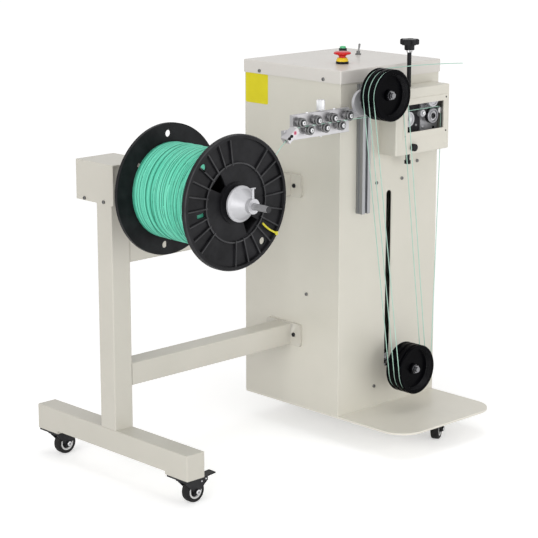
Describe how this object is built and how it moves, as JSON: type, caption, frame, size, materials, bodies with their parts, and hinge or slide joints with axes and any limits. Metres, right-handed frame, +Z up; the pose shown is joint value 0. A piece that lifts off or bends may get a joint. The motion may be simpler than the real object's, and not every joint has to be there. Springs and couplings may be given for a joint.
{
  "type": "cable prefeeding machine",
  "caption": "Wire prefeeding machine on casters: a spool stand feeds wire through roller straightener and drive wheels to a dancer loop on a steel cabinet.",
  "frame": {"origin": "on the floor under the middle of the machine's overall length and depth", "axes": "+X along the cabinet's front from the spool stand to the cabinet, +Y from the front to the back, +Z up"},
  "size_m": [0.9705, 0.704, 0.928],
  "materials": {
    "cream_paint": "semi-gloss",
    "lid_paint": "satin",
    "bright_steel": "turned",
    "dark_steel": "satin",
    "bare_aluminium": "satin",
    "black_plastic": "moulded",
    "caster_tread": "matt",
    "wire_green": "smooth",
    "signal_yellow": "smooth",
    "signal_red": "smooth",
    "button_green": "smooth"
  },
  "bodies": {
    "frame": {"base_plate": "cream_paint", "cabinet_shell": "cream_paint", "rear_panel": "cream_paint", "top_cover": "lid_paint", "fasteners": "bright_steel", "dancer_guide": "bright_steel", "feed_drive": "dark_steel", "feed_box": "cream_paint", "profile_rail": "bare_aluminium", "pulley_shaft": "bright_steel", "straightener_plate": "bare_aluminium", "inlet_guide": "bare_aluminium", "estop_base": "signal_yellow", "switch_bushes": "black_plastic", "post": "cream_paint", "foot_beam": "cream_paint", "upper_beam": "cream_paint", "lower_beam": "cream_paint", "head_box": "cream_paint", "spool_bearing": "cream_paint", "caster_plates": "dark_steel", "held_wire": "wire_green", "loop_strands": "wire_green", "exit_wire": "wire_green"},
    "caster_fork_1": {"caster_fork_1": "dark_steel"},
    "caster_wheel_1": {"caster_wheel_1": "caster_tread"},
    "brake_pedal_1": {"brake_pedal_1": "dark_steel"},
    "caster_fork_2": {"caster_fork_2": "dark_steel"},
    "caster_wheel_2": {"caster_wheel_2": "caster_tread"},
    "brake_pedal_2": {"brake_pedal_2": "dark_steel"},
    "caster_fork_3": {"caster_fork_3": "dark_steel"},
    "caster_wheel_3": {"caster_wheel_3": "caster_tread"},
    "caster_fork_4": {"caster_fork_4": "dark_steel"},
    "caster_wheel_4": {"caster_wheel_4": "caster_tread"},
    "dancer": {"dancer_carriage": "bright_steel", "lower_wrap": "wire_green"},
    "lower_pulley": {"lower_pulley": "black_plastic"},
    "upper_pulley": {"upper_pulley": "black_plastic"},
    "straightener_roller_1": {"straightener_roller_1": "bright_steel"},
    "straightener_roller_2": {"straightener_roller_2": "bright_steel"},
    "straightener_roller_3": {"straightener_roller_3": "bright_steel"},
    "straightener_roller_4": {"straightener_roller_4": "bright_steel"},
    "straightener_roller_5": {"straightener_roller_5": "bright_steel"},
    "straightener_roller_6": {"straightener_roller_6": "bright_steel"},
    "straightener_roller_7": {"straightener_roller_7": "bright_steel"},
    "adjust_knob": {"adjust_knob": "bare_aluminium"},
    "drive_wheel": {"drive_wheel": "bright_steel"},
    "guide_wheel": {"guide_wheel": "bare_aluminium"},
    "tension_roller": {"tension_roller": "bare_aluminium"},
    "press_screw": {"press_screw": "black_plastic"},
    "press_block": {"press_block": "dark_steel"},
    "press_roller": {"press_roller": "bare_aluminium"},
    "thumb_knob": {"thumb_knob": "black_plastic"},
    "spool": {"spool": "black_plastic", "wire_winding": "wire_green", "spool_shaft": "bright_steel", "centring_cones": "bare_aluminium"},
    "estop_head": {"estop_head": "signal_red"},
    "start_button": {"start_button": "button_green"},
    "toggle_lever": {"toggle_lever": "bright_steel"}
  },
  "joints": [
    {"name": "caster_swivel_1", "type": "hinge", "parent": "frame", "child": "caster_fork_1", "pos_m": [-0.36935, -0.1255, 0.025], "axis": [0, 0, 1], "continuous": true},
    {"name": "caster_roll_1", "type": "hinge", "parent": "caster_fork_1", "child": "caster_wheel_1", "pos_m": [-0.34735, -0.1255, 0.025], "axis": [0, 1, 0], "continuous": true},
    {"name": "brake_press_1", "type": "hinge", "parent": "caster_fork_1", "child": "brake_pedal_1", "pos_m": [-0.32135, -0.1255, 0.0497], "axis": [0, 1, 0], "range_deg": [0, 12]},
    {"name": "caster_swivel_2", "type": "hinge", "parent": "frame", "child": "caster_fork_2", "pos_m": [-0.36935, 0.3165, 0.025], "axis": [0, 0, 1], "continuous": true},
    {"name": "caster_roll_2", "type": "hinge", "parent": "caster_fork_2", "child": "caster_wheel_2", "pos_m": [-0.34735, 0.3165, 0.025], "axis": [0, 1, 0], "continuous": true},
    {"name": "brake_press_2", "type": "hinge", "parent": "caster_fork_2", "child": "brake_pedal_2", "pos_m": [-0.32135, 0.3165, 0.0497], "axis": [0, 1, 0], "range_deg": [0, 12]},
    {"name": "caster_swivel_3", "type": "hinge", "parent": "frame", "child": "caster_fork_3", "pos_m": [0.32465, -0.216, 0.025], "axis": [0, 0, 1], "continuous": true},
    {"name": "caster_roll_3", "type": "hinge", "parent": "caster_fork_3", "child": "caster_wheel_3", "pos_m": [0.34389, -0.20533, 0.025], "axis": [-0.4848, 0.8746, 0], "continuous": true},
    {"name": "caster_swivel_4", "type": "hinge", "parent": "frame", "child": "caster_fork_4", "pos_m": [0.32465, 0.169, 0.025], "axis": [0, 0, 1], "continuous": true},
    {"name": "caster_roll_4", "type": "hinge", "parent": "caster_fork_4", "child": "caster_wheel_4", "pos_m": [0.34665, 0.169, 0.025], "axis": [0, 1, 0], "continuous": true},
    {"name": "dancer_slide", "type": "slide", "parent": "frame", "child": "dancer", "axis": [0, 0, 1], "range_m": [0, 0.4], "deforming": ["loop_strands"]},
    {"name": "lower_pulley_spin", "type": "hinge", "parent": "dancer", "child": "lower_pulley", "pos_m": [0.30865, -0.151, 0.168], "axis": [0, 1, 0], "continuous": true},
    {"name": "upper_pulley_spin", "type": "hinge", "parent": "frame", "child": "upper_pulley", "pos_m": [0.21065, -0.151, 0.818], "axis": [0, 1, 0], "continuous": true},
    {"name": "roller_spin_1", "type": "hinge", "parent": "frame", "child": "straightener_roller_1", "pos_m": [-0.01935, -0.118, 0.7763], "axis": [0, 1, 0], "continuous": true},
    {"name": "roller_spin_2", "type": "hinge", "parent": "frame", "child": "straightener_roller_2", "pos_m": [0.02965, -0.118, 0.7763], "axis": [0, 1, 0], "continuous": true},
    {"name": "roller_spin_3", "type": "hinge", "parent": "frame", "child": "straightener_roller_3", "pos_m": [0.07865, -0.118, 0.7763], "axis": [0, 1, 0], "continuous": true},
    {"name": "roller_spin_4", "type": "hinge", "parent": "frame", "child": "straightener_roller_4", "pos_m": [0.12765, -0.118, 0.7763], "axis": [0, 1, 0], "continuous": true},
    {"name": "roller_spin_5", "type": "hinge", "parent": "frame", "child": "straightener_roller_5", "pos_m": [0.00515, -0.118, 0.7577], "axis": [0, 1, 0], "continuous": true},
    {"name": "roller_spin_6", "type": "hinge", "parent": "frame", "child": "straightener_roller_6", "pos_m": [0.05415, -0.118, 0.7577], "axis": [0, 1, 0], "continuous": true},
    {"name": "roller_spin_7", "type": "hinge", "parent": "frame", "child": "straightener_roller_7", "pos_m": [0.10315, -0.118, 0.7577], "axis": [0, 1, 0], "continuous": true},
    {"name": "adjust_turn", "type": "hinge", "parent": "frame", "child": "adjust_knob", "pos_m": [0.05665, -0.101, 0.792], "axis": [0, 0, 1], "continuous": true},
    {"name": "drive_spin", "type": "hinge", "parent": "frame", "child": "drive_wheel", "pos_m": [0.40365, -0.118, 0.748], "axis": [0, 1, 0], "continuous": true},
    {"name": "guide_spin", "type": "hinge", "parent": "frame", "child": "guide_wheel", "pos_m": [0.32165, -0.118, 0.748], "axis": [0, 1, 0], "continuous": true},
    {"name": "tension_spin", "type": "hinge", "parent": "frame", "child": "tension_roller", "pos_m": [0.36865, -0.118, 0.7572], "axis": [0, 1, 0], "continuous": true},
    {"name": "press_turn", "type": "hinge", "parent": "frame", "child": "press_screw", "pos_m": [0.33965, -0.104, 0.767], "axis": [0, 0, 1], "range_deg": [0, 1080]},
    {"name": "press_slide", "type": "slide", "parent": "frame", "child": "press_block", "axis": [0, 0, 1], "range_m": [0, 0.006]},
    {"name": "press_spin", "type": "hinge", "parent": "press_block", "child": "press_roller", "pos_m": [0.40365, -0.118, 0.786], "axis": [0, 1, 0], "continuous": true},
    {"name": "thumb_turn", "type": "hinge", "parent": "frame", "child": "thumb_knob", "pos_m": [0.32665, -0.13, 0.684], "axis": [0, 1, 0], "continuous": true},
    {"name": "spool_spin", "type": "hinge", "parent": "frame", "child": "spool", "pos_m": [-0.34135, -0.152, 0.665], "axis": [0, 1, 0], "continuous": true},
    {"name": "estop_push", "type": "slide", "parent": "frame", "child": "estop_head", "axis": [0, 0, -1], "range_m": [0, 0.004], "stiffness_N_per_m": 400},
    {"name": "start_push", "type": "slide", "parent": "frame", "child": "start_button", "axis": [0, 0, -1], "range_m": [0, 0.003], "stiffness_N_per_m": 200},
    {"name": "toggle_flip", "type": "hinge", "parent": "frame", "child": "toggle_lever", "pos_m": [0.39465, 0.108, 0.8745], "axis": [0, 1, 0], "range_deg": [-24, 0]}
  ],
  "couplings": [
    {"joint": "press_turn", "follows": "press_slide", "rad_per_m": 3141.6}
  ]
}
